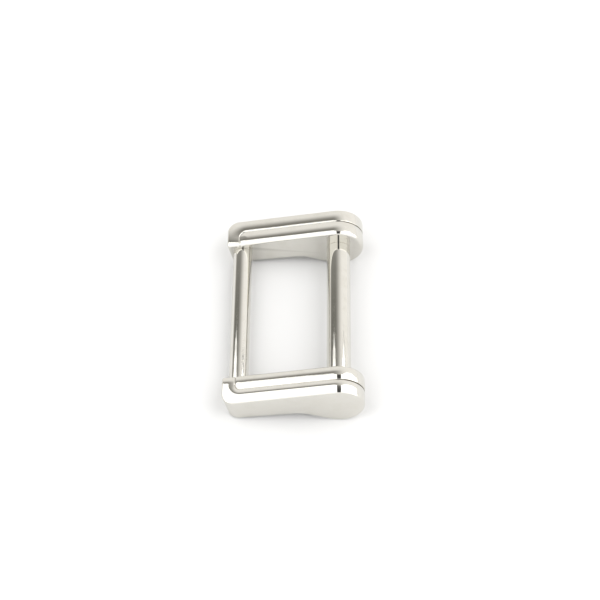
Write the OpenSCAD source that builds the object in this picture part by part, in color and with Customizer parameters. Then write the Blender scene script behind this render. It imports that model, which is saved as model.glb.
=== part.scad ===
// Rectangular strap slider: two shaped end cheeks joined by a thick and a thin cross post.
// Millimetres, +Z up. The slider is drawn as it rests on a table, on the round lobes of its
// cheeks and the lower edges of their thin ends. The origin is the middle of its outline at
// table height. X runs along the cheeks, from the thin ends to the lobes, and Y along the posts.
// Each cheek is drawn in its own frame first: x from the lobe's axis, y from the cheek's inner
// side face outwards, z from the lobe's axis. The whole is then tilted to its rest.

/* [Strap opening] */
// Clear width between the two cheeks, for a 25 mm strap
strap_gap = 26; // [16:1:52]
// Distance between the axes of the two posts, along the cheek
post_pitch = 16.2; // [14:0.1:16.4]

/* [Posts] */
// Diameter of the thick post, on the axis of the lobes
thick_post_d = 4; // [3.4:0.1:5]
// Diameter of the thin post
thin_post_d = 3.2; // [2.6:0.1:3.6]
// Depth of the thin post's axis below the top line of the cheek
thin_post_drop = 2.25; // [2.1:0.05:2.4]
// Length of the spigot at each end of a post, pressed into its cheek
spigot_len = 3; // [2:0.25:3.5]
// Step in radius from a post down to its spigot
spigot_step = 0.6; // [0.4:0.1:0.8]

/* [Cheeks] */
// Width of one cheek, along the posts
cheek_w = 5.2; // [4.8:0.1:6.5]
// Diameter of the round lobe
lobe_d = 8.2; // [7.8:0.1:9]
// Length from the lobe's axis to the thin end
arm_len = 18.4; // [18:0.1:20]
// Height of the thin end, below the top line
end_h = 4.4; // [4.2:0.1:4.8]
// Angle at which the arm's underside falls away from the top line
arm_taper = 2.8; // [1:0.1:4]
// Angle of the ramp from the arm's underside down to the lobe
ramp_angle = 32; // [26:1:38]
// Radius of the hollow that blends the ramp into the arm
ramp_blend_r = 4.5; // [2:0.5:6]
// Radius of the thin end's outer corner, seen from above
corner_r = 2; // [1:0.1:2.4]
// Radius broken along the long top edges
edge_r = 0.35; // [0.2:0.05:0.45]

/* [Top bands] */
// Height of the inner band's crest above the top line
crown_h = 0.36; // [0.3:0.02:0.5]
// Radius of both bands, across the cheek
band_crown_r = 9; // [7:0.5:14]
// Radius of the plain top beyond the groove, across the cheek
cap_crown_r = 32; // [24:1:60]
// Width of the inner band
inner_band_w = 2.7; // [2.4:0.1:3]
// Distance of the inner band's crest from the inner side face
inner_crest = 1.2; // [1:0.1:1.5]
// Distance of the outer band's crest from the groove
outer_crest = 0.65; // [0.4:0.05:0.9]
// Radius of the round-bottomed groove between the bands
groove_r = 0.15; // [0.1:0.01:0.2]
// Radius of the groove's corner, near the thin end
groove_corner_r = 1; // [0.6:0.1:1.4]
// Angle that the groove runs down the lobe's end, from the top
groove_wrap = 110; // [90:5:115]

/* [Hidden] */
$fn = 96;

// A length that carries a cutting solid well past what it cuts
past = 1;
// Clearance at the bottom of each blind bore, and the lead-in cone on each spigot
bore_end_gap = 0.3;
lead_in = 0.25;
// Depth of the groove's own centre line below the inner band's crest
groove_sink = 0.08;

// Heights and depths in the cheek's own frame
lobe_r = lobe_d / 2;
crest_z = lobe_r + crown_h;
end_z = lobe_r - end_h;
thin_post_z = lobe_r - thin_post_drop;
groove_y = inner_band_w;
groove_z = crest_z - groove_sink;
outer_crest_y = groove_y + outer_crest;

// The plain top's arc passes through the inner band's crest, and the outer band's crest is on it
outer_crest_z = crest_z - pow(outer_crest_y - inner_crest, 2) / (2 * cap_crown_r);

// The ramp leaves the lobe at a tangent and meets the arm's underside at the knee
ramp_foot = -lobe_r * [sin(ramp_angle), cos(ramp_angle)];
knee_x = (ramp_foot[1] + ramp_foot[0] * tan(ramp_angle) - end_z + arm_len * tan(arm_taper))
    / (tan(ramp_angle) - tan(arm_taper));
knee = [knee_x, end_z - (knee_x + arm_len) * tan(arm_taper)];
knee_turn = ramp_angle - arm_taper;
knee_run = ramp_blend_r * tan(knee_turn / 2);
blend_start = knee - knee_run * [cos(arm_taper), -sin(arm_taper)];
blend_centre = blend_start - ramp_blend_r * [sin(arm_taper), cos(arm_taper)];
blend_steps = 12;

// The tilt at which the lobe and the thin end's lower edge both touch the table
rest_tilt = asin(lobe_r / norm([arm_len, end_z])) + atan2(end_z, arm_len);

// Shift along X that puts the origin in the middle of the outline. The lobe's crowned end is a
// circle with its centre half the crown's height above the lobe's axis.
low_x = -arm_len * cos(rest_tilt) - crest_z * sin(rest_tilt);
high_x = lobe_r + crown_h / 2 * (1 - sin(rest_tilt));
centre_x = -(low_x + high_x) / 2;

// Puts what is drawn in the cheek's frame where the slider lies
module at_rest() {
    translate([centre_x, 0, lobe_r])
        rotate([0, -rest_tilt, 0])
            children();
}

// A disc of radius r whose highest point is at [y, z]
module crown(y, z, r) {
    translate([y, z - r])
        circle(r = r, $fn = 256);
}

// The quarter outside an edge's rounding, for a corner at [0, 0] that points to +x and +y
module edge_waste(r) {
    difference() {
        translate([-r, -r])
            square(r + past);
        translate([-r, -r])
            circle(r = r, $fn = 48);
    }
}

// Section across the cheek, z against y, with both long top edges broken
module broken_edges(inner_z, outer_z) {
    difference() {
        children();
        translate([0, inner_z])
            mirror([1, 0])
                edge_waste(edge_r);
        translate([cheek_w, outer_z])
            edge_waste(edge_r);
    }
}

// A part of the section from y0 to y1, down to the depth z0
module strip(y0, y1, z0) {
    intersection() {
        children();
        translate([y0, z0])
            square([y1 - y0, crest_z + past - z0]);
    }
}

// Section with the inner and the outer band, as it runs beside the groove
module banded_section(z0) {
    broken_edges(crest_z - pow(inner_crest, 2) / (2 * band_crown_r),
                 outer_crest_z - pow(cheek_w - outer_crest_y, 2) / (2 * band_crown_r))
        union() {
            strip(0, groove_y, z0)
                crown(inner_crest, crest_z, band_crown_r);
            strip(groove_y, cheek_w, z0)
                crown(outer_crest_y, outer_crest_z, band_crown_r);
        }
}

// Section of the plain top at the thin end
module plain_section(z0) {
    broken_edges(crest_z - pow(inner_crest, 2) / (2 * band_crown_r),
                 crest_z - pow(cheek_w - inner_crest, 2) / (2 * cap_crown_r))
        union() {
            strip(0, inner_crest, z0)
                crown(inner_crest, crest_z, band_crown_r);
            strip(inner_crest, cheek_w, z0)
                crown(inner_crest, crest_z, cap_crown_r);
        }
}

// Runs a section along the cheek from x0 to x1
module along_cheek(x0, x1) {
    translate([x0, 0, 0])
        rotate([90, 0, 90])
            linear_extrude(height = x1 - x0)
                children();
}

// Side view of the arm and the lobe's plain round, z against x, left of the lobe's axis
module side_view() {
    difference() {
        union() {
            circle(r = lobe_r);
            polygon(concat(
                [[0, crest_z + past], [-arm_len, crest_z + past], [-arm_len, end_z]],
                [for (i = [0 : blend_steps])
                    let (a = 90 - arm_taper - knee_turn * i / blend_steps)
                        blend_centre + ramp_blend_r * [cos(a), sin(a)]],
                [ramp_foot, [0, 0]]
            ));
        }
        translate([0, -lobe_r - past])
            square(3 * lobe_r);
    }
}

// Plan of the cheek, y against x, with the thin end's rounded outer corner
module plan_view() {
    union() {
        translate([-arm_len, -past])
            square([arm_len, cheek_w - corner_r + past]);
        translate([corner_r - arm_len, -past])
            square([arm_len - corner_r, cheek_w + 2 * past]);
        translate([corner_r - arm_len, cheek_w - corner_r])
            circle(r = corner_r);
    }
}

// The arm with the left half of the lobe
module arm() {
    intersection() {
        translate([0, cheek_w + past, 0])
            rotate([90, 0, 0])
                linear_extrude(height = cheek_w + 2 * past)
                    side_view();
        union() {
            along_cheek(-arm_len - past, -post_pitch)
                plain_section(-lobe_r - past);
            along_cheek(-post_pitch, past)
                banded_section(-lobe_r - past);
        }
        translate([0, 0, -lobe_r - past])
            linear_extrude(height = lobe_r + crest_z + 2 * past)
                plan_view();
    }
}

// Turns a section about the lobe's centre, from straight up down through the end by the angle
module around_lobe(angle) {
    translate([0, 0, crown_h / 2])
        rotate([-90, 0, 0])
            rotate([0, 0, -90])
                rotate_extrude(angle = angle, $fn = 128)
                    mirror([1, -1])
                        translate([0, -crown_h / 2])
                            children();
}

// The right half of the lobe: the bands carried round the end, over the plain round
module lobe_end() {
    around_lobe(180)
        banded_section(crown_h / 2);
    intersection() {
        rotate([-90, 0, 0])
            cylinder(r = lobe_r, h = cheek_w);
        translate([0, -past, -lobe_r - past])
            cube([lobe_r + past, cheek_w + 2 * past, 2 * (lobe_r + past)]);
    }
}

// The groove: a short leg across the inner band, a rounded corner, a long leg and the lobe's end
module groove() {
    leg_x = -post_pitch;
    translate([leg_x, -past, groove_z])
        rotate([-90, 0, 0])
            cylinder(r = groove_r, h = groove_y - groove_corner_r + past, $fn = 24);
    translate([leg_x + groove_corner_r, groove_y - groove_corner_r, groove_z])
        rotate([0, 0, 90])
            rotate_extrude(angle = 90)
                translate([groove_corner_r, 0])
                    circle(r = groove_r, $fn = 24);
    translate([leg_x + groove_corner_r, groove_y, groove_z])
        rotate([0, 90, 0])
            cylinder(r = groove_r, h = post_pitch - groove_corner_r, $fn = 24);
    around_lobe(groove_wrap)
        translate([groove_y, groove_z])
            circle(r = groove_r, $fn = 24);
}

// Blind bore in the inner side face for one post's spigot
module spigot_bore(x, z, post_d) {
    translate([x, -past, z])
        rotate([-90, 0, 0])
            cylinder(r = post_d / 2 - spigot_step, h = past + spigot_len + bore_end_gap);
}

// One cheek in its own frame
module cheek() {
    difference() {
        union() {
            arm();
            lobe_end();
        }
        groove();
        spigot_bore(0, 0, thick_post_d);
        spigot_bore(-post_pitch, thin_post_z, thin_post_d);
    }
}

// One post on its axis at [x, z]: a bar as long as the strap gap, with a spigot at each end
module post(x, z, d) {
    spigot_r = d / 2 - spigot_step;
    translate([x, 0, z])
        rotate([-90, 0, 0]) {
            translate([0, 0, -strap_gap / 2])
                cylinder(r = d / 2, h = strap_gap);
            translate([0, 0, -strap_gap / 2 - spigot_len + lead_in])
                cylinder(r = spigot_r, h = strap_gap + 2 * (spigot_len - lead_in));
            for (side = [0, 1])
                mirror([0, 0, side])
                    translate([0, 0, strap_gap / 2 + spigot_len - lead_in])
                        cylinder(r1 = spigot_r, r2 = spigot_r - lead_in, h = lead_in);
        }
}

// Cast cheek on the -Y side
module front_cheek() {
    color("gainsboro")
        at_rest()
            mirror([0, 1, 0])
                translate([0, strap_gap / 2, 0])
                    cheek();
}

// Cast cheek on the +Y side, the mirror image of the first
module rear_cheek() {
    color("gainsboro")
        at_rest()
            translate([0, strap_gap / 2, 0])
                cheek();
}

// Thick bar between the lobes, which the strap turns round
module thick_post() {
    color("silver")
        at_rest()
            post(0, 0, thick_post_d);
}

// Thin bar between the thin ends
module thin_post() {
    color("silver")
        at_rest()
            post(-post_pitch, thin_post_z, thin_post_d);
}

front_cheek();
rear_cheek();
thick_post();
thin_post();
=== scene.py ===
"""Visual model of a polished strap slider: two shaped end cheeks joined by a thick and a thin post.

Laid out as an add-on and run as a script. Lengths are in metres. Each cheek is drawn in its own
frame first: u along the cheek from the lobe's axis (the thin end is at -u), v from the cheek's
inner side face outwards, and w up from the lobe's axis. It is then tilted to its rest.
"""

import math

import bpy
import numpy as np
from mathutils import Matrix, Vector


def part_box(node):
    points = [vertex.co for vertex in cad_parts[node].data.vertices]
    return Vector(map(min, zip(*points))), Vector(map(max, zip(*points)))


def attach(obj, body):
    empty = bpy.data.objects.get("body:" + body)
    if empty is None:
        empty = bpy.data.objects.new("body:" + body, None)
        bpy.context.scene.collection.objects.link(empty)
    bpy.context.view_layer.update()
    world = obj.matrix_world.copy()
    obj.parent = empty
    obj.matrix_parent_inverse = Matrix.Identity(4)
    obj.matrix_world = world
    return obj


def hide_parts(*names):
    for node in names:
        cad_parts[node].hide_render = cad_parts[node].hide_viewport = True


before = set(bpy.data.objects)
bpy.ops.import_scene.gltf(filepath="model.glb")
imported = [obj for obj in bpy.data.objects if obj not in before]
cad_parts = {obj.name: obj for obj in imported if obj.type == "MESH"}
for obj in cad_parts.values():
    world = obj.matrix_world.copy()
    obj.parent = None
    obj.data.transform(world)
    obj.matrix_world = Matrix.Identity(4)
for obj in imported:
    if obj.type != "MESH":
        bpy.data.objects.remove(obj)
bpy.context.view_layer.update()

bl_info = {
    "name": "Strap Slider",
    "version": (1, 0, 0),
    "blender": (4, 5, 0),
    "location": "View3D > Sidebar > Slider",
    "description": "Builds a polished strap slider with two shaped cheeks and two cross posts",
    "category": "Add Mesh",
}

MM = 0.001
MICROMETRE = 0.000001


# ---------------------------------------------------------------- sizes read from the frame


def post_section(node):
    """Axis of a post as (x, z), and its radius, from its CAD box."""
    low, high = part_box(node)
    return (low.x + high.x) / 2, (low.z + high.z) / 2, (high.z - low.z) / 2


THICK_X, THICK_Z, THICK_R = post_section("thick_post")
THIN_X, THIN_Z, THIN_R = post_section("thin_post")
CHEEK_LOW, CHEEK_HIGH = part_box("rear_cheek")
POST_LOW, POST_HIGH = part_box("thick_post")
HALF_GAP = CHEEK_LOW.y
CHEEK_WIDTH = CHEEK_HIGH.y - CHEEK_LOW.y
SPIGOT_LENGTH = POST_HIGH.y - HALF_GAP

# The slider rests on its lobes, so the thick post's axis is one lobe radius above the table
LOBE_RADIUS = THICK_Z - CHEEK_LOW.z

# Hidden fit of a post in a cheek: how much thinner its spigot is, and the room behind the spigot
SPIGOT_STEP = 0.6 * MM
BORE_GAP = 0.3 * MM

# Broken edge at each end of a post's body, and the chamfer that leads its spigot in
POST_EDGE = 0.04 * MM
SPIGOT_LEAD = 0.25 * MM

# The turn round the lobe in which the fine line rises back to the surface
LINE_RUN_OUT = math.radians(15)

# Share of the painted shade, a dark colour standing in for the fine line's shade, on the flat top, and the
# turn from which all of it shows
FLAT_TOP_SHADE = 0.3
FULL_SHADE_FROM = math.radians(35)

# How soon the painted shade is at its darkest on the way into the line
GROOVE_SHADE_GAIN = 3.0


# ---------------------------------------------------------------- fineness of the meshes


# Each edge has a zone with steps that follow its rounding
EDGE_ZONE = 0.5 * MM
EDGE_STEPS = 10

# Distances between points along and across a cheek's top, and along its underside and a post
ALONG_ARM = 0.25 * MM
ROUND_GROOVE_CORNER = 0.06 * MM
ACROSS_TOP = 0.1 * MM
BESIDE_GROOVE = 0.05 * MM
ACROSS_LINE = 0.025 * MM
ALONG_UNDERSIDE = 0.4 * MM
ALONG_POST = 0.5 * MM

# The finer parts of the grid start this many corner radii from the groove's line and its corner
GROOVE_ZONE = 1.2
CORNER_ZONE = 1.3

# Steps round the blend and down the ramp, and round the lobe before and after its lowest point
BLEND_STEPS = 14
RAMP_STEPS = 8
FOOT_STEPS = 12
LOBE_STEPS = 90

# Points round a bore and round a post
BORE_POINTS = 48
POST_POINTS = 96

# Lengths and areas that only keep a division or a comparison safe
NEARLY_ZERO = 1e-12
SMALLEST_AREA = 1e-30


# ---------------------------------------------------------------- settings


def length(name, description, default):
    """A length property, in metres."""
    return bpy.props.FloatProperty(
        name=name, description=description, default=default, min=0.0, unit="LENGTH", precision=5
    )


def angle(name, description, degrees):
    """An angle property, given in degrees."""
    return bpy.props.FloatProperty(
        name=name, description=description, default=math.radians(degrees), subtype="ANGLE"
    )


def colour(name, description, default):
    """A linear colour property."""
    return bpy.props.FloatVectorProperty(
        name=name, description=description, default=default, size=3, min=0.0, max=1.0, subtype="COLOR"
    )


def amount(name, description, default):
    """A plain number property."""
    return bpy.props.FloatProperty(name=name, description=description, default=default, min=0.0)


class CheekSizes(bpy.types.PropertyGroup):
    """Sizes of one cheek, in its own frame."""

    arm_length: length("Arm length", "From the lobe's axis to the thin end", 18.4 * MM)
    end_height: length("End height", "Height of the thin end below the top line", 4.4 * MM)
    thin_post_drop: length("Thin post drop", "Depth of the thin post's axis below the top line", 2.25 * MM)
    arm_taper: angle("Arm taper", "Fall of the arm's underside from the top line", 2.8)
    ramp_angle: angle("Ramp angle", "Slope of the ramp from the arm down to the lobe", 32)
    blend_radius: length("Ramp blend", "Radius of the hollow between the arm and the ramp", 4.5 * MM)
    corner_radius: length("Outer corner", "Radius of the thin end's outer corner, from above", 2.0 * MM)
    inner_corner: length("Inner corner", "Radius of the thin end's inner corner, from above", 0.5 * MM)
    inner_edge: length("Inner edge", "Radius of the long top edge beside the strap", 0.45 * MM)
    outer_edge: length("Outer edge", "Radius of the long top edge on the outside", 0.35 * MM)
    end_edge: length("End edge", "Radius of the thin end's top edge", 0.4 * MM)
    lower_edge: length("Lower edge", "Radius of the edges along the underside", 0.25 * MM)
    crown_height: length("Crown", "Height of the crest above the top line", 0.34 * MM)
    outer_crown: length("Outer crown radius", "Radius across the top, outside the crest", 32 * MM)


class PolishSizes(bpy.types.PropertyGroup):
    """How hand polishing has left the top of each cheek: the front one is rounder than the rear one."""

    front_crest: length("Front crest", "Distance of the crest from the inner side face", 1.5 * MM)
    rear_crest: length("Rear crest", "Distance of the crest from the inner side face", 1.2 * MM)
    front_crown: length("Front crown radius", "Radius across the top, inside the crest", 4.8 * MM)
    rear_crown: length("Rear crown radius", "Radius across the top, inside the crest", 7.9 * MM)
    front_depth: length("Front valley depth", "Depth of the soft valley along the groove", 0.2 * MM)
    rear_depth: length("Rear valley depth", "Depth of the soft valley along the groove", 0.1225 * MM)
    front_pad: length("Front valley on the pad", "Width of the valley on the inner band", 0.85 * MM)
    rear_pad: length("Rear valley on the pad", "Width of the valley on the inner band", 1.5 * MM)
    front_band: length("Front valley on the band", "Width of the valley on the outer band", 1.3 * MM)
    rear_band: length("Rear valley on the band", "Width of the valley on the outer band", 1.75 * MM)


class GrooveSizes(bpy.types.PropertyGroup):
    """Sizes of the groove."""

    offset: length("Groove offset", "Distance of the long leg from the inner side face", 2.7 * MM)
    corner: length("Groove corner", "Radius of the groove's corner", 1.0 * MM)
    line_width: length("Line width", "Width of the fine line cut along the valley", 0.28 * MM)
    line_depth: length("Line depth", "Depth of the fine line cut along the valley", 0.09 * MM)
    wrap: angle("Line wrap", "How far round the lobe the fine line runs, from its top", 110)


class NickelFinish(bpy.types.PropertyGroup):
    """Look of the polished plate."""

    tint: colour("Nickel", "Reflected colour of the plate", (0.69, 0.675, 0.63))
    worn_tint: colour("Worn nickel", "Reflected colour where the plate is rubbed", (0.64, 0.62, 0.565))
    # Painted shade: a near black colour that stands in for the shade in the groove's fine line
    groove_shade_tint: colour("Painted groove shade", "Colour of the polish residue in the groove", (0.08, 0.068, 0.048))
    gloss: amount("Roughness", "Roughness of the polish", 0.05)
    haze: amount("Haze", "Extra roughness in hazy patches", 0.05)
    scratches: amount("Scratches", "Depth of the fine scratches, in micrometres", 0.15)
    waviness: amount("Waviness", "Height of the polish's slow ripples, in micrometres", 10)
    streaks: amount("Drawn marks", "Height of the marks along a post, in micrometres", 1.5)


class StudioSettings(bpy.types.PropertyGroup):
    """The table, the lights and the camera."""

    table: colour("Table", "Colour of the table", (0.67, 0.67, 0.67))
    left_strength: amount("Left softbox strength", "Brightness of the left softbox", 1.6)
    right_strength: amount("Right softbox strength", "Brightness of the right softbox", 1.38)
    left_length: angle("Left softbox length", "Half angle that it fills from left to right", 37)
    right_length: angle("Right softbox length", "Half angle that it fills from left to right", 35)
    left_distance: length("Left softbox distance", "From the slider to the left softbox", 0.8)
    right_distance: length("Right softbox distance", "From the slider to the right softbox", 0.45)
    left_depth: angle("Left softbox depth", "Half angle that it fills from front to back", 32.85)
    right_depth: angle("Right softbox depth", "Half angle that it fills from front to back", 31.8)
    room_strength: amount("Room strength", "Brightness of the room round the table", 1.0)
    focal: amount("Focal length", "Camera's focal length on a 36 mm sensor, in millimetres", 107.3)
    elevation: angle("Camera elevation", "Height of the camera above the table's plane", 55.36)
    azimuth: angle("Camera azimuth", "Turn of the camera round the slider", -0.525)
    distance: length("Camera distance", "From the camera to the point it looks at", 302.44 * MM)


# ---------------------------------------------------------------- mesh helpers


class Skin:
    """Collects points and faces, with a smoothing group for each face."""

    def __init__(self):
        self.points = []
        self.residue = []
        self.faces = []
        self.groups = []

    def add_points(self, points, residue=0.0):
        """Adds an array of points and returns their numbers in the same shape.

        This value is how much painted shade darkens each point, from 0 to 1: dark colour that stands in
        for the shade in the groove's fine line.
        """
        points = np.asarray(points, float)
        first = len(self.points)
        self.points.extend(points.reshape(-1, 3))
        self.residue.extend(np.broadcast_to(residue, points.shape[:-1]).ravel())
        return np.arange(first, len(self.points)).reshape(points.shape[:-1])

    def add_face(self, corners, group=0):
        """Adds one face from the numbers of its corners."""
        self.faces.append([int(c) for c in corners])
        self.groups.append(group)

    def add_grid(self, grid, group=0, flip=False):
        """Adds a quad for each cell of a grid of point numbers."""
        for i in range(grid.shape[0] - 1):
            for j in range(grid.shape[1] - 1):
                cell = [grid[i, j], grid[i + 1, j], grid[i + 1, j + 1], grid[i, j + 1]]
                if len(set(cell)) == 4:
                    self.add_face(cell[::-1] if flip else cell, group)

    def to_object(self, name, place):
        """Makes a mesh object. The function place turns an array of local points into the row's frame."""
        points = place(np.array(self.points))
        faces = self.faces
        if signed_volume(points, faces) < 0:
            faces = [face[::-1] for face in faces]
        mesh = bpy.data.meshes.new(name)
        mesh.from_pydata([tuple(p) for p in points], [], faces)
        mesh.polygons.foreach_set("use_smooth", [True] * len(mesh.polygons))
        mesh.normals_split_custom_set(smooth_normals(points, faces, self.groups))
        # The painted shade of the groove's fine line, kept on each point for the material to read
        mesh.attributes.new("residue", "FLOAT", "POINT").data.foreach_set("value", self.residue)
        mesh.update()
        obj = bpy.data.objects.new(name, mesh)
        bpy.context.scene.collection.objects.link(obj)
        return obj


def area_vector(points):
    """A flat face's normal, as long as twice its area."""
    spread = points - points[0]
    return np.cross(spread, np.roll(spread, -1, axis=0)).sum(axis=0)


def signed_volume(points, faces):
    """Volume inside the faces: negative if they face inwards."""
    return sum(np.dot(points[face[0]], area_vector(points[face])) for face in faces) / 6


def smooth_normals(points, faces, groups):
    """Smooth normal for each corner of each face, weighted by area within its smoothing group."""
    sums = {}
    for face, group in zip(faces, groups):
        area = area_vector(points[face])
        for c in face:
            sums[(c, group)] = sums.get((c, group), 0) + area
    return [
        tuple(sums[(c, group)] / max(np.linalg.norm(sums[(c, group)]), SMALLEST_AREA))
        for face, group in zip(faces, groups)
        for c in face
    ]


def steps_from_edge(radius, count):
    """Distances from an edge that follow a rounding of that radius in equal turns."""
    return radius * (1 - np.cos(np.linspace(0, math.pi / 2, count + 1)))


def evenly(start, stop, spacing):
    """Values from start to stop about that far apart, both ends included."""
    count = max(1, round(abs(stop - start) / spacing))
    return np.linspace(start, stop, count + 1)


def joined(*parts):
    """The parts in one array, without the value that each shares with the one before."""
    kept = [parts[0]] + [p[1:] for p in parts[1:]]
    return np.concatenate(kept)


def rounding(distance, radius):
    """How far a rounded edge falls below its flat, at a distance from the edge."""
    inward = np.clip(radius - distance, 0, radius)
    return radius - np.sqrt(np.maximum(radius**2 - inward**2, 0))


def sine(degrees):
    """Sine of an angle in degrees."""
    return math.sin(math.radians(degrees))


def smooth(t):
    """Eases from 0 to 1."""
    t = np.clip(t, 0, 1)
    return t * t * (3 - 2 * t)


# ---------------------------------------------------------------- the cheek's shape


class CheekShape:
    """Works out points on one cheek from its sizes. Which is front or rear."""

    def __init__(self, which):
        sizes = bpy.context.scene.slider_cheek
        polish = bpy.context.scene.slider_polish
        self.s = sizes
        self.g = bpy.context.scene.slider_groove
        self.crest = getattr(polish, which + "_crest")
        self.inner_crown = getattr(polish, which + "_crown")
        self.valley_depth = getattr(polish, which + "_depth")
        self.pad_side = getattr(polish, which + "_pad")
        self.band_side = getattr(polish, which + "_band")
        self.lobe = LOBE_RADIUS
        self.width = CHEEK_WIDTH
        self.end_w = self.lobe - sizes.end_height
        rise = self.lobe - sizes.thin_post_drop
        span = math.hypot(THIN_X - THICK_X, THIN_Z - THICK_Z)
        self.pitch = math.sqrt(span**2 - rise**2)
        self.thin_w = rise
        self.tilt = math.atan2(rise, self.pitch) - math.atan2(THIN_Z - THICK_Z, THICK_X - THIN_X)
        self.find_ramp()

    def find_ramp(self):
        """The blend between the arm's underside and the ramp, which leaves the lobe at a tangent."""
        taper, ramp = self.s.arm_taper, self.s.ramp_angle
        self.foot = -self.lobe * np.array([math.sin(ramp), math.cos(ramp)])
        ramp_rise = self.foot[1] + self.foot[0] * math.tan(ramp)
        arm_rise = self.end_w - self.s.arm_length * math.tan(taper)
        knee_u = (ramp_rise - arm_rise) / (math.tan(ramp) - math.tan(taper))
        knee = np.array([knee_u, self.end_w - (knee_u + self.s.arm_length) * math.tan(taper)])
        back = self.s.blend_radius * math.tan((ramp - taper) / 2)
        self.blend_start = knee - back * np.array([math.cos(taper), -math.sin(taper)])
        self.blend_centre = self.blend_start - self.s.blend_radius * np.array(
            [math.sin(taper), math.cos(taper)]
        )

    def groove_distance(self, u, v):
        """Distance from the groove's line: negative on the pad, positive on the outer band."""
        across = v - (self.g.offset - self.g.corner)
        along = (-self.pitch + self.g.corner) - u
        outside = np.hypot(np.maximum(across, 0), np.maximum(along, 0))
        return outside + np.minimum(np.maximum(across, along), 0) - self.g.corner

    def crown(self, u, v):
        """Height of the top above the top line."""
        from_crest = v - self.crest
        radius = np.where(from_crest < 0, self.inner_crown, self.s.outer_crown)
        height = self.s.crown_height - from_crest**2 / (2 * radius)
        side = self.groove_distance(u, v)
        reach = np.where(side < 0, self.pad_side, self.band_side)
        valley = self.valley_depth * np.clip(1 - np.abs(side) / reach, 0, 1) ** 2
        return height - valley

    def line_share(self, u, v):
        """How deep in the fine line along the valley's bottom a point is, from 0 to 1."""
        side = self.groove_distance(u, v)
        return np.cos(np.clip(side / self.g.line_width, -0.5, 0.5) * math.pi) ** 2

    def residue(self, u, v):
        """How much painted shade, standing in for the fine line's shade, darkens a point, from 0 to 1."""
        return np.clip(GROOVE_SHADE_GAIN * self.line_share(u, v), 0, 1)

    def corner_map(self, u, v):
        """Moves points near the thin end so that its square plan gets its two round corners.

        Returns the new u and v, the distance from the plan's edge, and how far round a corner
        the point is: 0 on a long side and 1 on the end.
        """
        from_end = u + self.s.arm_length
        new_u, new_v = u.copy(), v.copy()
        edge = np.minimum(from_end, np.minimum(v, self.width - v))
        turn = np.where(from_end < np.minimum(v, self.width - v), 1.0, 0.0)
        for radius, from_side, sign, side_v in (
            (self.s.corner_radius, self.width - v, 1, self.width),
            (self.s.inner_corner, v, -1, 0.0),
        ):
            inside = (from_end < radius) & (from_side < radius)
            depth = np.minimum(from_end, from_side)
            arc = radius - depth
            on_side = from_side <= from_end
            share = np.where(on_side, radius - from_end, radius - from_side) / np.maximum(arc, NEARLY_ZERO)
            turned = np.where(on_side, share, 2 - share) * math.pi / 4
            arc_u = -self.s.arm_length + radius - arc * np.sin(turned)
            arc_v = side_v - sign * radius + sign * arc * np.cos(turned)
            new_u = np.where(inside, arc_u, new_u)
            new_v = np.where(inside, arc_v, new_v)
            edge = np.where(inside, depth, edge)
            turn = np.where(inside, turned / (math.pi / 2), turn)
        return new_u, new_v, edge, turn

    def top_points(self, u, v):
        """Points of the top of the arm, on the grid u by v."""
        u, v = np.meshgrid(u, v, indexing="ij")
        outer = v > self.width / 2
        u, v, edge, turn = self.corner_map(u, v)
        side_radius = np.where(outer, self.s.outer_edge, self.s.inner_edge)
        radius = side_radius + (self.s.end_edge - side_radius) * smooth(turn)
        line = self.g.line_depth * self.line_share(u, v)
        w = self.lobe + self.crown(u, v) - line - rounding(edge, radius)
        return np.stack([u, v, w], axis=-1)

    def under_line(self, steps):
        """The underside's line past the thin end's corner, as u, w and the slope there."""
        taper, ramp = self.s.arm_taper, self.s.ramp_angle
        arm_u = evenly(-self.s.arm_length + steps[-1], self.blend_start[0], ALONG_UNDERSIDE)
        arm = [(u, self.end_w - (u + self.s.arm_length) * math.tan(taper), taper) for u in arm_u]
        bend = []
        for a in np.linspace(taper, ramp, BLEND_STEPS + 1)[1:]:
            u, w = self.blend_centre + self.s.blend_radius * np.array([math.sin(a), math.cos(a)])
            bend.append((u, w, a))
        last = np.array(bend[-1][:2])
        shares = np.linspace(0, 1, RAMP_STEPS + 1)[1:-1]
        slope = [(*(last + (self.foot - last) * share), ramp) for share in shares]
        return arm[1:] + bend + slope

    def under_points(self, steps, v):
        """Points of the underside, from the thin end to just before the lobe."""
        u, end_v = np.meshgrid(-self.s.arm_length + steps, v, indexing="ij")
        u, end_v, edge, _ = self.corner_map(u, end_v)
        lift = rounding(edge, self.s.lower_edge)
        w = self.end_w - (u + self.s.arm_length) * math.tan(self.s.arm_taper) + lift
        rows = [np.stack([u, end_v, w], axis=-1)]
        lift = rounding(np.minimum(v, self.width - v), self.s.lower_edge)
        for u, w, a in self.under_line(steps):
            row = np.stack([u + lift * math.sin(a), v, w + lift * math.cos(a)], axis=-1)
            rows.append(row[None])
        return np.concatenate(rows)

    def lobe_points(self, angles, v):
        """Points round the lobe. Angles run clockwise from straight up."""
        rows = []
        crown = self.crown(np.zeros_like(v), v)
        line = self.g.line_depth * self.line_share(np.zeros_like(v), v)
        for a in angles:
            fade = (1 + math.cos(a)) / 2 if a < math.pi else 0.0
            cut = line * (1 - smooth((a - self.g.wrap) / LINE_RUN_OUT))
            low = smooth((a - math.pi / 2) / (math.pi / 2))
            inner = self.s.inner_edge + (self.s.lower_edge - self.s.inner_edge) * low
            outer = self.s.outer_edge + (self.s.lower_edge - self.s.outer_edge) * low
            drop = rounding(v, inner) + rounding(self.width - v, outer)
            radius = self.lobe + crown * fade - cut - drop
            rows.append(np.stack([radius * math.sin(a), v, radius * math.cos(a)], axis=-1))
        return np.array(rows)


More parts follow.
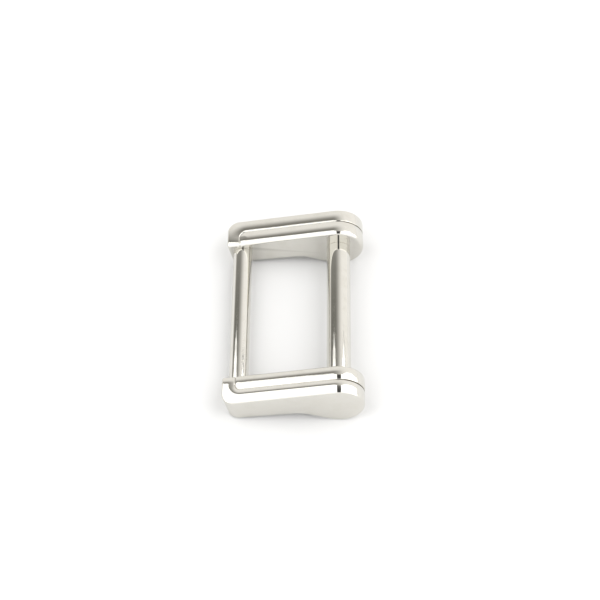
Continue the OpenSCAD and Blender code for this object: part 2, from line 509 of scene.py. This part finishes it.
def cheek_across():
    """Places across the cheek at which its shape is worked out."""
    groove = bpy.context.scene.slider_groove
    inner = steps_from_edge(EDGE_ZONE, EDGE_STEPS)
    outer = CHEEK_WIDTH - inner[::-1]
    fine_from = groove.offset - GROOVE_ZONE * groove.corner
    line_from = groove.offset - groove.line_width
    line_to = groove.offset + groove.line_width
    return joined(
        inner,
        evenly(inner[-1], fine_from, ACROSS_TOP),
        evenly(fine_from, line_from, BESIDE_GROOVE),
        evenly(line_from, line_to, ACROSS_LINE),
        evenly(line_to, outer[0], ACROSS_TOP),
        outer,
    )


def nearest(values, wanted):
    """Number of the value nearest to the wanted one."""
    return int(np.argmin(np.abs(np.asarray(values) - wanted)))


def ring(u, w, v, radius):
    """A circle of points round a bore, from straight up towards +u."""
    turn = np.linspace(0, 2 * math.pi, BORE_POINTS, endpoint=False)
    depth = np.full(BORE_POINTS, v)
    return np.stack([u + radius * np.sin(turn), depth, w + radius * np.cos(turn)], axis=-1)


class CheekMesh:
    """One cheek as a closed skin in its own frame, with a blind bore for each post.

    The top, the underside and the lobe are grids of point numbers. Their rows run along the cheek
    and their columns across it, from the inner side face outwards.
    """

    def __init__(self, which):
        self.shape = CheekShape(which)
        self.skin = Skin()
        self.v = cheek_across()
        self.end_steps = joined(
            steps_from_edge(EDGE_ZONE, EDGE_STEPS),
            evenly(EDGE_ZONE, self.shape.s.corner_radius, ACROSS_TOP),
        )
        self.top_u = self.places_along()
        self.angles = joined(
            np.linspace(math.pi + self.shape.s.ramp_angle, math.pi, FOOT_STEPS + 1),
            np.linspace(math.pi, 0, LOBE_STEPS + 1),
        )[:-1]
        self.add_loop()
        self.add_outer_wall()
        thick_rim = self.add_bore(0.0, 0.0, THICK_R)
        thin_rim = self.add_bore(-self.shape.pitch, self.shape.thin_w, THIN_R)
        self.add_inner_wall(thick_rim, thin_rim)

    def places_along(self):
        """Places along the top, from the lobe's axis to the thin end."""
        arm = self.shape.s.arm_length
        fine_u = -self.shape.pitch + CORNER_ZONE * self.shape.g.corner
        return joined(
            evenly(0, fine_u, ALONG_ARM),
            evenly(fine_u, self.end_steps[-1] - arm, ROUND_GROOVE_CORNER),
            self.end_steps[::-1] - arm,
        )

    def add_loop(self):
        """The closed loop of the top, the underside and the lobe, with painted shade in its fine line,
        lighter on the flat top than round the lobe.
        """
        shape, skin = self.shape, self.skin
        points = shape.top_points(self.top_u, self.v)
        self.top = skin.add_points(points, FLAT_TOP_SHADE * shape.residue(points[..., 0], points[..., 1]))
        self.under = skin.add_points(shape.under_points(self.end_steps, self.v))
        # Painted shade in the line: a share on the flat top, rising to all of it round the lobe and fading
        # where the line runs out
        shade_round_lobe = FLAT_TOP_SHADE + (1 - FLAT_TOP_SHADE) * smooth(self.angles / FULL_SHADE_FROM)
        shade_round_lobe = shade_round_lobe * (1 - smooth((self.angles - shape.g.wrap) / LINE_RUN_OUT))
        residue = np.outer(shade_round_lobe, shape.residue(0 * self.v, self.v))
        self.lobe = skin.add_points(shape.lobe_points(self.angles, self.v), residue)
        skin.add_grid(np.concatenate([self.top, self.under, self.lobe, self.top[:1]]))

    def add_wall_strip(self, column, reach, flip):
        """The side wall round one of the thin end's corners. Returns the row at which it stops."""
        stations = [k for k, d in enumerate(self.end_steps) if d <= reach + NEARLY_ZERO]
        upper = [self.top[-1 - k, column] for k in stations]
        lower = [self.under[k, column] for k in stations]
        self.skin.add_grid(np.array([upper, lower]), flip=flip)
        return stations[-1]

    def add_outer_wall(self):
        """The outer side wall: a strip round the corner and one flat face."""
        last = len(self.v) - 1
        stop = self.add_wall_strip(last, self.shape.s.corner_radius, False)
        top = list(self.top[: len(self.top) - stop, last])
        self.skin.add_face(top + list(self.under[stop:, last]) + list(self.lobe[:, last]))

    def add_bore(self, u, w, post_radius):
        """The blind bore for one post's spigot. Returns the points of its rim."""
        radius = post_radius - SPIGOT_STEP
        rim = list(self.skin.add_points(ring(u, w, 0.0, radius)))
        floor = list(self.skin.add_points(ring(u, w, SPIGOT_LENGTH + BORE_GAP, radius)))
        self.skin.add_grid(np.array([rim + rim[:1], floor + floor[:1]]), group=1, flip=True)
        self.skin.add_face(floor, group=2)
        return rim

    def add_inner_wall(self, thick_rim, thin_rim):
        """The inner side wall: a strip round the corner, and three flat faces that meet at the bores."""
        stop = self.add_wall_strip(0, self.shape.s.inner_corner, True)
        top, under, lobe = list(self.top[:, 0]), list(self.under[:, 0]), list(self.lobe[:, 0])
        half = BORE_POINTS // 2
        thin_top = nearest(self.top_u, -self.shape.pitch)
        thin_under = nearest([self.skin.points[p][0] for p in under], -self.shape.pitch)
        lobe_low = nearest(self.angles, math.pi)
        end_top = top[thin_top : len(top) - stop]
        end_face = end_top + under[stop : thin_under + 1] + thin_rim[half:] + thin_rim[:1]
        middle_face = (
            top[: thin_top + 1]
            + thin_rim[: half + 1]
            + under[thin_under:]
            + lobe[: lobe_low + 1]
            + thick_rim[half:]
            + thick_rim[:1]
        )
        lobe_face = top[:1] + thick_rim[: half + 1] + lobe[lobe_low:]
        for face in (end_face, middle_face, lobe_face):
            self.skin.add_face(face[::-1])


def rest_place(shape, side):
    """Turns points from a cheek's own frame into the row's frame. Side is -1 for the front cheek."""

    def place(points):
        u, v, w = points[:, 0], points[:, 1], points[:, 2]
        cos, sin = math.cos(shape.tilt), math.sin(shape.tilt)
        x = THICK_X + u * cos - w * sin
        z = THICK_Z + u * sin + w * cos
        return np.stack([x, side * (HALF_GAP + v), z], axis=-1)

    return place


# ---------------------------------------------------------------- the posts' shape


def build_post(radius):
    """One post on the Y axis: a bar with a broken edge and a spigot at each end."""
    skin = Skin()
    spigot = radius - SPIGOT_STEP
    straight = HALF_GAP - POST_EDGE
    half_profile = [
        (straight, radius),
        (HALF_GAP, radius - POST_EDGE),
        (HALF_GAP, spigot),
        (HALF_GAP + SPIGOT_LENGTH - SPIGOT_LEAD, spigot),
        (HALF_GAP + SPIGOT_LENGTH, spigot - SPIGOT_LEAD),
    ]
    body = [(y, radius) for y in evenly(-straight, straight, ALONG_POST)[1:-1]]
    profile = [(-y, r) for y, r in half_profile[::-1]] + body + half_profile
    turn = np.linspace(0, 2 * math.pi, POST_POINTS, endpoint=False)
    rows = []
    for y, r in profile:
        rows.append(np.stack([r * np.sin(turn), np.full(POST_POINTS, y), r * np.cos(turn)], axis=-1))
    grid = skin.add_points(np.array(rows))
    closed = np.concatenate([grid, grid[:, :1]], axis=1)

    # The body is smooth all along, and each part of the ends has a smoothing group of its own
    segments = len(profile) - 1
    end_segments = len(half_profile) - 1
    for i in range(segments):
        on_body = end_segments <= i < segments - end_segments
        skin.add_grid(closed[i : i + 2], group=0 if on_body else i + 1)
    skin.add_face(grid[0], group=-1)
    skin.add_face(grid[-1][::-1], group=-2)
    return skin


# ---------------------------------------------------------------- shader helper


class Socket:
    """A shader value that can be used in arithmetic. Each operation adds a Math node."""

    def __init__(self, tree, socket):
        self.tree = tree
        self.socket = socket

    def math(self, operation, first, second=None):
        """Adds a Math node with one or two inputs."""
        inputs = {0: first} if second is None else {0: first, 1: second}
        return self.tree.add("ShaderNodeMath", {"operation": operation}, inputs)[0]

    def __add__(self, other):
        return self.math("ADD", self, other)

    def __radd__(self, other):
        return self.math("ADD", other, self)

    def __sub__(self, other):
        return self.math("SUBTRACT", self, other)

    def __mul__(self, other):
        return self.math("MULTIPLY", self, other)

    def absolute(self):
        """The value without its sign."""
        return self.math("ABSOLUTE", self)

    def lowest(self, other):
        """The lower of the two values."""
        return self.math("MINIMUM", self, other)

    def angle_from(self, other):
        """Angle of the point (other, self) from the first axis, in radians."""
        return self.math("ARCTAN2", self, other)

    def ease(self, start, stop):
        """0 at start, 1 at stop, and smooth between. Stop may be the lower of the two."""
        settings = {"interpolation_type": "SMOOTHSTEP"}
        inputs = {"Value": self, "From Min": start, "From Max": stop}
        return self.tree.add("ShaderNodeMapRange", settings, inputs)["Result"]


# Numbers of the Mix node's colour inputs and colour output, which share their names with others
MIX_FIRST, MIX_SECOND, MIX_RESULT = 6, 7, 2


class Tree:
    """Adds nodes to a material's or a world's node tree."""

    def __init__(self, owner):
        owner.use_nodes = True
        self.tree = owner.node_tree
        self.tree.nodes.clear()

    def add(self, kind, settings=None, inputs=None):
        """Adds a node: its settings are set first, then the values or links of its inputs.

        Returns a look-up of its outputs, by name or number.
        """
        node = self.tree.nodes.new(kind)
        for key, value in (settings or {}).items():
            setattr(node, key, value)
        for key, value in (inputs or {}).items():
            if isinstance(value, Socket):
                self.tree.links.new(value.socket, node.inputs[key])
            else:
                node.inputs[key].default_value = value
        return Outputs(self, node)

    def mix_colours(self, factor, first, second):
        """Mixes two colours by a factor."""
        inputs = {"Factor": factor, MIX_FIRST: first, MIX_SECOND: second}
        return self.add("ShaderNodeMix", {"data_type": "RGBA"}, inputs)[MIX_RESULT]


class Outputs:
    """The outputs of a node."""

    def __init__(self, tree, node):
        self.tree = tree
        self.node = node

    def __getitem__(self, key):
        return Socket(self.tree, self.node.outputs[key])


# ---------------------------------------------------------------- materials


# Noise patterns, each with its scale per metre, its detail and its roughness
HAZE = (420.0, 5.0, 0.6)
SPECKS = (5200.0, 3.0, 0.7)
SCRATCHES = (900.0, 6.0, 0.75)
RIPPLES = (260.0, 1.0, 0.4)
DRAWN_MARKS = (2600.0, 2.0, 0.5)
MOTTLE = (60.0, 3.0, 0.5)

# Values of a pattern between which its effect comes in
SCRATCHED = (0.58, 0.72)
RUBBED_DULL = (0.45, 0.75)
HAZY = (0.4, 0.8)

# How densely a pattern is packed along each axis
UNSTRETCHED = (1.0, 1.0, 1.0)
CHEEK_SCRATCHES = (0.6, 2.2, 1.0)
POST_SCRATCHES = (3.0, 0.25, 3.0)
ALONG_BAR = (1.0, 0.012, 1.0)

# Share of the worn tint that haze and scratches bring, and the height of the specks in micrometres
HAZE_WEAR = 0.6
SCRATCH_WEAR = 0.4
SPECK_HEIGHT = 0.02

# Roughness added where the groove's shade is painted, the table's roughness, and how much its mottle
# darkens it
GROOVE_SHADE_ROUGHNESS = 0.3
TABLE_ROUGHNESS = 0.9
MOTTLE_SHADE = 0.98

# Colour of the softbox's rim
RIM_COLOUR = (0.12, 0.11, 0.10)


def with_alpha(rgb):
    """A colour as four numbers."""
    return (*rgb, 1.0)


def stretched(tree, scale):
    """The object's own coordinates, scaled along each axis."""
    place = tree.add("ShaderNodeTexCoord")["Object"]
    return tree.add("ShaderNodeMapping", inputs={"Vector": place, "Scale": scale})["Vector"]


def noise(tree, place, pattern):
    """A noise texture's value."""
    scale, detail, roughness = pattern
    inputs = {"Vector": place, "Scale": scale, "Detail": detail, "Roughness": roughness}
    return tree.add("ShaderNodeTexNoise", inputs=inputs)["Fac"]


def nickel_material(name, scratch_scale, streak_height):
    """Polished nickel plate with slow ripples, haze, fine scratches and painted shade in its groove's fine
    line.

    scratch_scale is how densely the scratches are packed along each axis. streak_height is the
    height of the drawn marks along the bar, in micrometres.
    """
    finish = bpy.context.scene.slider_nickel
    material = bpy.data.materials.new(name)
    tree = Tree(material)
    even = stretched(tree, UNSTRETCHED)
    haze = noise(tree, even, HAZE)
    specks = noise(tree, even, SPECKS)
    scratch = noise(tree, stretched(tree, scratch_scale), SCRATCHES).ease(*SCRATCHED)
    ripples = noise(tree, even, RIPPLES)
    streaks = noise(tree, stretched(tree, ALONG_BAR), DRAWN_MARKS)
    # Painted shade of the groove's fine line, read from each point
    residue = tree.add("ShaderNodeAttribute", {"attribute_name": "residue"})["Fac"]

    worn = (haze.ease(*RUBBED_DULL) * HAZE_WEAR + scratch * SCRATCH_WEAR).lowest(1.0)
    tint = tree.mix_colours(worn, with_alpha(finish.tint), with_alpha(finish.worn_tint))
    # Painted shade: darkens the fine line towards a near black colour that stands in for its shade
    tint = tree.mix_colours(residue, tint, with_alpha(finish.groove_shade_tint))
    rough = finish.gloss + haze.ease(*HAZY) * finish.haze + residue * GROOVE_SHADE_ROUGHNESS
    height = ripples * finish.waviness + streaks * streak_height
    height = height - scratch * finish.scratches + specks * SPECK_HEIGHT
    relief = {"Strength": 1.0, "Distance": MICROMETRE, "Height": height}
    bump = tree.add("ShaderNodeBump", inputs=relief)["Normal"]
    plate = {"Base Color": tint, "Metallic": 1.0, "Roughness": rough, "Normal": bump}
    shader = tree.add("ShaderNodeBsdfPrincipled", inputs=plate)["BSDF"]
    tree.add("ShaderNodeOutputMaterial", inputs={"Surface": shader})
    return material


def table_material():
    """Matte white table top with a faint mottle."""
    base = bpy.context.scene.slider_studio.table
    material = bpy.data.materials.new("table_top")
    tree = Tree(material)
    mottle = noise(tree, stretched(tree, UNSTRETCHED), MOTTLE)
    darker = tuple(MOTTLE_SHADE * c for c in base)
    tint = tree.mix_colours(mottle, with_alpha(base), with_alpha(darker))
    paint = {"Base Color": tint, "Roughness": TABLE_ROUGHNESS}
    shader = tree.add("ShaderNodeBsdfPrincipled", inputs=paint)["BSDF"]
    tree.add("ShaderNodeOutputMaterial", inputs={"Surface": shader})
    return material


def rim_material():
    """Dark cloth of the softbox's rim."""
    material = bpy.data.materials.new("softbox_rim")
    tree = Tree(material)
    shader = tree.add("ShaderNodeBsdfDiffuse", inputs={"Color": with_alpha(RIM_COLOUR)})["BSDF"]
    tree.add("ShaderNodeOutputMaterial", inputs={"Surface": shader})
    return material


# ---------------------------------------------------------------- stage


# Half the length of the table's side, in metres
TABLE_HALF = 3.0

# Width of the dark rim along the right softbox's far edge, as the slider sees it
RIM_ANGLE = math.radians(0.8)

# The point that the camera looks at, its sensor's width and its near limit
CAMERA_AIM = (0.899 * MM, 5.276 * MM, 0.0)
SENSOR_WIDTH = 36.0
CLIP_START = 0.01

# Where the room's parts fade in, in degrees. A turn is measured round the Y axis, from straight up
# towards +X. A lean is the angle from the XZ plane towards +Y.
CORNER_TURNS = ((-100, -68), (35, -35))
CORNER_LEANS = ((48, 33), (-20, 0))
STRIP_TURN = (11, 6)
STRIP_LEANS = ((30, 20), (-75, -60))
FRONT_LEAN = (10, -30)

# Where the left walls turn into the right ones, as shares of the way towards +X
WALL_CHANGE = (-0.2, 0.8)

# Colours of the room's parts
LEFT_WALLS = (1.12, 1.10, 1.07)
RIGHT_WALLS = (1.24, 1.22, 1.19)
FRONT_WALL = (1.5, 1.5, 1.5)
DARK_CORNER = (0.215, 0.21, 0.19)
DARK_STRIP = (0.08, 0.08, 0.08)


def add_plane(name, corners, material):
    """A flat stage piece from its corners."""
    mesh = bpy.data.meshes.new(name)
    mesh.from_pydata(corners, [], [tuple(range(len(corners)))])
    obj = bpy.data.objects.new(name, mesh)
    obj.data.materials.append(material)
    bpy.context.scene.collection.objects.link(obj)


def rectangle(left, right, low, high):
    """Corners of a rectangle, in turn."""
    return [(left, low), (right, low), (right, high), (left, high)]


def add_table():
    """The white table that the slider lies on."""
    corners = rectangle(-TABLE_HALF, TABLE_HALF, -TABLE_HALF, TABLE_HALF)
    add_plane("table", [(x, y, 0) for x, y in corners], table_material())


def add_camera():
    """Camera on the slider's middle, from the front and above."""
    studio = bpy.context.scene.slider_studio
    data = bpy.data.cameras.new("camera")
    data.lens = studio.focal
    data.sensor_width = SENSOR_WIDTH
    data.clip_start = CLIP_START
    camera = bpy.data.objects.new("camera", data)
    bpy.context.scene.collection.objects.link(camera)
    turn, rise = studio.azimuth, studio.elevation
    back = Vector((-math.sin(turn) * math.cos(rise), -math.cos(turn) * math.cos(rise), math.sin(rise)))
    camera.location = Vector(CAMERA_AIM) + back * studio.distance
    camera.rotation_mode = "QUATERNION"
    right = Vector((math.cos(turn), -math.sin(turn), 0.0))
    up = back.cross(right)
    camera.rotation_quaternion = Matrix((right, up, back)).transposed().to_quaternion()
    bpy.context.scene.camera = camera


def add_softbox(which, side):
    """A rectangular softbox at 45 degrees to one side: which is left or right, and side is -1 or 1."""
    studio = bpy.context.scene.slider_studio
    distance = getattr(studio, which + "_distance")
    half_length = distance * math.tan(getattr(studio, which + "_length"))
    half_depth = distance * math.tan(getattr(studio, which + "_depth"))
    name = "softbox_" + which
    data = bpy.data.lights.new(name, "AREA")
    data.shape = "RECTANGLE"
    data.size = 2 * half_length
    data.size_y = 2 * half_depth
    data.energy = getattr(studio, which + "_strength") * math.pi * data.size * data.size_y
    light = bpy.data.objects.new(name, data)
    bpy.context.scene.collection.objects.link(light)
    out = Vector((side * math.sin(math.pi / 4), 0.0, math.cos(math.pi / 4)))
    along = Vector((math.cos(math.pi / 4), 0.0, -side * math.sin(math.pi / 4)))
    depth = out.cross(along)
    light.location = out * distance
    light.rotation_mode = "QUATERNION"
    light.rotation_quaternion = Matrix((along, depth, out)).transposed().to_quaternion()
    if which == "right":
        edge = half_depth + distance * RIM_ANGLE
        corners = rectangle(-half_length, half_length, half_depth, edge)
        places = [tuple(out * distance + along * a + depth * b) for a, b in corners]
        add_plane("softbox_rim", places, rim_material())


def fade_by_turn(turn, degrees):
    """Fades in between two turns."""
    start, stop = degrees
    return turn.ease(math.radians(start), math.radians(stop))


def fade_by_lean(y, degrees):
    """Fades in between two leans. The Y part of a direction is the sine of its lean."""
    start, stop = degrees
    return y.ease(sine(start), sine(stop))


def build_room():
    """The room round the table: light all over, but for a dark corner behind the left softbox
    and a dark strip between the two softboxes, where the camera stands.
    """
    world = bpy.data.worlds.new("room")
    bpy.context.scene.world = world
    tree = Tree(world)
    way = tree.add("ShaderNodeTexCoord")["Generated"]
    parts = tree.add("ShaderNodeSeparateXYZ", inputs={"Vector": way})
    x, y, z = parts["X"], parts["Y"], parts["Z"]
    turn = x.angle_from(z)
    corner = fade_by_turn(turn, CORNER_TURNS[0]) * fade_by_turn(turn, CORNER_TURNS[1])
    corner = corner * fade_by_lean(y, CORNER_LEANS[0]) * fade_by_lean(y, CORNER_LEANS[1])
    strip = fade_by_turn(turn.absolute(), STRIP_TURN)
    strip = strip * fade_by_lean(y, STRIP_LEANS[0]) * fade_by_lean(y, STRIP_LEANS[1])
    walls = tree.mix_colours(x.ease(*WALL_CHANGE), with_alpha(LEFT_WALLS), with_alpha(RIGHT_WALLS))
    tint = tree.mix_colours(fade_by_lean(y, FRONT_LEAN), walls, with_alpha(FRONT_WALL))
    tint = tree.mix_colours(corner, tint, with_alpha(DARK_CORNER))
    tint = tree.mix_colours(strip, tint, with_alpha(DARK_STRIP))
    light = {"Color": tint, "Strength": bpy.context.scene.slider_studio.room_strength}
    sky = tree.add("ShaderNodeBackground", inputs=light)["Background"]
    tree.add("ShaderNodeOutputWorld", inputs={"Surface": sky})


# ---------------------------------------------------------------- operators and panel


def finish_piece(obj, material, slot, *nodes):
    """Gives a piece its material, hangs it under the root body, and hides the CAD nodes it stands for."""
    obj.data.materials.append(material)
    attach(obj, "root")
    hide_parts(*nodes)


class SLIDER_OT_cheeks(bpy.types.Operator):
    """Build the front and the rear cheek"""

    bl_idname = "slider.cheeks"
    bl_label = "Add Cheeks"

    def execute(self, context):
        material = nickel_material("cheek_nickel", CHEEK_SCRATCHES, 0.0)
        for side, which in ((-1, "front"), (1, "rear")):
            cheek = CheekMesh(which)
            obj = cheek.skin.to_object(which + "_cheek_shell", rest_place(cheek.shape, side))
            finish_piece(obj, material, "cheek_nickel", which + "_cheek")
        return {"FINISHED"}


class SLIDER_OT_posts(bpy.types.Operator):
    """Build the thick and the thin cross post"""

    bl_idname = "slider.posts"
    bl_label = "Add Posts"

    def execute(self, context):
        material = nickel_material("post_nickel", POST_SCRATCHES, context.scene.slider_nickel.streaks)
        for node, x, z, radius in (
            ("thick_post", THICK_X, THICK_Z, THICK_R),
            ("thin_post", THIN_X, THIN_Z, THIN_R),
        ):
            shift = np.array([x, 0.0, z])
            obj = build_post(radius).to_object(node + "_bar", lambda points: points + shift)
            finish_piece(obj, material, "post_nickel", node)
        return {"FINISHED"}


class SLIDER_OT_stage(bpy.types.Operator):
    """Build the table, the softboxes, the room and the camera"""

    bl_idname = "slider.stage"
    bl_label = "Add Stage"

    def execute(self, context):
        add_table()
        add_softbox("left", -1)
        add_softbox("right", 1)
        build_room()
        add_camera()
        context.scene.view_settings.view_transform = "Standard"
        return {"FINISHED"}


class SLIDER_PT_panel(bpy.types.Panel):
    """Lists the slider's pieces and its settings"""

    bl_idname = "SLIDER_PT_panel"
    bl_label = "Strap Slider"
    bl_space_type = "VIEW_3D"
    bl_region_type = "UI"
    bl_category = "Slider"

    def draw(self, context):
        layout = self.layout
        for operator in OPERATORS:
            layout.operator(operator.bl_idname)
        for settings in (
            context.scene.slider_cheek,
            context.scene.slider_polish,
            context.scene.slider_groove,
            context.scene.slider_nickel,
            context.scene.slider_studio,
        ):
            box = layout.box()
            for name in type(settings).__annotations__:
                box.prop(settings, name)


GROUPS = (
    ("slider_cheek", CheekSizes),
    ("slider_polish", PolishSizes),
    ("slider_groove", GrooveSizes),
    ("slider_nickel", NickelFinish),
    ("slider_studio", StudioSettings),
)
OPERATORS = (SLIDER_OT_cheeks, SLIDER_OT_posts, SLIDER_OT_stage)


def register():
    """Registers the settings, the operators and the panel."""
    for name, group in GROUPS:
        bpy.utils.register_class(group)
        setattr(bpy.types.Scene, name, bpy.props.PointerProperty(type=group))
    for operator in OPERATORS:
        bpy.utils.register_class(operator)
    bpy.utils.register_class(SLIDER_PT_panel)


def unregister():
    """Takes everything that register added away again."""
    bpy.utils.unregister_class(SLIDER_PT_panel)
    for operator in reversed(OPERATORS):
        bpy.utils.unregister_class(operator)
    for name, group in reversed(GROUPS):
        delattr(bpy.types.Scene, name)
        bpy.utils.unregister_class(group)


def main():
    register()
    bpy.ops.slider.cheeks()
    bpy.ops.slider.posts()
    bpy.ops.slider.stage()


if __name__ == "__main__":
    main()
